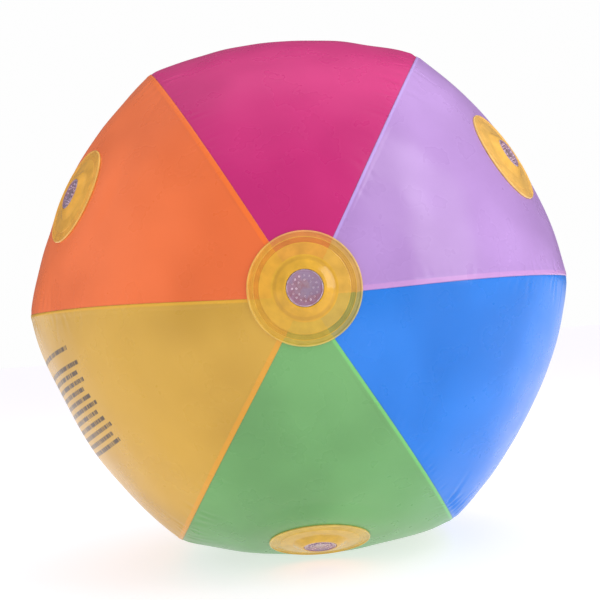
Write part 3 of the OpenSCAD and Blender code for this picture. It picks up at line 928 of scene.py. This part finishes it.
# The CAD nodes that stay get their materials here
STAYING = {
    "rose_seals": RUBBER, "water_hub": WHITE_PLASTIC, "tube_inlet": CLEAR_TUBE,
    "inlet_stub": WHITE_PLASTIC, "inlet_locknut": WHITE_PLASTIC, "inlet_screen": STEEL,
    "hose_washer": RUBBER, "valve_stem": VALVE_VINYL, "valve_tether": VALVE_VINYL,
    "check_flap": VALVE_VINYL,
}
STAYING.update({"cup_" + p: WHITE_PLASTIC for p in PORTS})
STAYING.update({"tube_" + p: CLEAR_TUBE for p in PORTS})
for node, material in STAYING.items():
    for slot in frame["nodes"][node].material_slots:
        slot.material = material


# ---------------------------------------------------------------------------------------------
# Floor, light and camera
# ---------------------------------------------------------------------------------------------
def floor():
    """Pale plain floor, a hair below the part, that glows a little so that it runs into the backdrop."""
    half, low = 12.0, -0.0002
    mesh = bpy.data.meshes.new("floor")
    mesh.from_pydata([(-half, -half, low), (half, -half, low), (half, half, low), (-half, half, low)],
                     [], [(0, 1, 2, 3)])
    obj = bpy.data.objects.new("floor", mesh)
    bpy.context.scene.collection.objects.link(obj)
    s = Shader("floor_white")
    s.set(Base_Color=(0.54, 0.5, 0.56, 1.0), Roughness=0.75, IOR=1.2)
    s.set(Emission_Color=(1.0, 0.995, 1.0, 1.0), Emission_Strength=0.63)
    obj.data.materials.append(s.material)


def softbox(name, at, aim, width, height, watts, shown=True):
    """Area light that the camera doesn't see. shown is whether it is mirrored in the part."""
    data = bpy.data.lights.new(name, "AREA")
    data.shape = "RECTANGLE"
    data.size, data.size_y = width, height
    data.energy = watts
    obj = bpy.data.objects.new(name, data)
    obj.location = at
    obj.rotation_euler = (Vector(aim) - Vector(at)).to_track_quat("-Z", "Y").to_euler()
    obj.visible_camera = False
    obj.visible_glossy = shown
    bpy.context.scene.collection.objects.link(obj)


def world():
    """White backdrop to the camera, softer light from all round, darker behind the ball in mirrored rays."""
    light_level, backdrop_level = 0.68, 0.99
    dark_from, dark_to, dark_share = 0.1, 0.7, 0.8
    w = bpy.data.worlds.new("studio")
    bpy.context.scene.world = w
    w.use_nodes = True
    tree = w.node_tree
    tree.nodes.clear()
    out = tree.nodes.new("ShaderNodeOutputWorld")
    mix = tree.nodes.new("ShaderNodeMixShader")
    path = tree.nodes.new("ShaderNodeLightPath")
    soft = tree.nodes.new("ShaderNodeBackground")
    white = tree.nodes.new("ShaderNodeBackground")
    soft.inputs["Color"].default_value = (0.97, 0.98, 1.0, 1)
    way = tree.nodes.new("ShaderNodeSeparateXYZ")
    coords = tree.nodes.new("ShaderNodeTexCoord")
    tree.links.new(coords.outputs["Generated"], way.inputs[0])
    behind = tree.nodes.new("ShaderNodeMapRange")
    tree.links.new(way.outputs["Y"], behind.inputs["Value"])
    behind.inputs["From Min"].default_value = dark_from
    behind.inputs["From Max"].default_value = dark_to
    behind.inputs["To Min"].default_value = 0.0
    behind.inputs["To Max"].default_value = dark_share
    in_gloss = tree.nodes.new("ShaderNodeMath")
    in_gloss.operation = "MULTIPLY"
    tree.links.new(behind.outputs[0], in_gloss.inputs[0])
    tree.links.new(path.outputs["Is Glossy Ray"], in_gloss.inputs[1])
    level = tree.nodes.new("ShaderNodeMath")
    level.operation = "MULTIPLY_ADD"
    tree.links.new(in_gloss.outputs[0], level.inputs[0])
    level.inputs[1].default_value = -light_level
    level.inputs[2].default_value = light_level
    tree.links.new(level.outputs[0], soft.inputs["Strength"])
    white.inputs["Color"].default_value = (1, 1, 1, 1)
    white.inputs["Strength"].default_value = backdrop_level
    tree.links.new(path.outputs["Is Camera Ray"], mix.inputs[0])
    tree.links.new(soft.outputs[0], mix.inputs[1])
    tree.links.new(white.outputs[0], mix.inputs[2])
    tree.links.new(mix.outputs[0], out.inputs["Surface"])


def camera():
    """Looks almost straight at the front pole, from a little left and below, rolled a little."""
    azimuth, elevation, roll = math.radians(-1.0), math.radians(-1.6), math.radians(-4.2)
    distance, half_view, lift = 1.222, math.radians(15.98), math.radians(0.14)
    middle = Vector((0, 0, MID_Z))
    look = Vector((-math.sin(azimuth) * math.cos(elevation), math.cos(azimuth) * math.cos(elevation),
                   -math.sin(elevation)))
    data = bpy.data.cameras.new("camera")
    data.sensor_width = 36.0
    data.lens = data.sensor_width / 2 / math.tan(half_view)
    data.clip_end = 60
    obj = bpy.data.objects.new("camera", data)
    turn = look.to_track_quat("-Z", "Y").to_matrix().to_4x4()
    obj.rotation_mode = "QUATERNION"
    tip = Matrix.Rotation(-lift, 4, "X")
    obj.matrix_world = (Matrix.Translation(middle - distance * look) @ turn @ tip
                        @ Matrix.Rotation(roll, 4, "Z"))
    bpy.context.scene.collection.objects.link(obj)
    bpy.context.scene.camera = obj


floor()
world()
middle = (0, 0, MID_Z)
softbox("top_box", (0.1, 0.3, 1.9), middle, 2.2, 1.8, 14, shown=False)
softbox("key_box", (0.86, -0.9, 1.6), middle, 0.7, 0.7, 4, shown=False)
softbox("left_box", (-1.6, -0.55, 0.6), middle, 1.2, 1.2, 2.5, shown=False)
softbox("right_box", (1.26, -0.86, 0.87), middle, 0.6, 1.35, 8.5)
camera()
bpy.context.scene.view_settings.view_transform = "Standard"
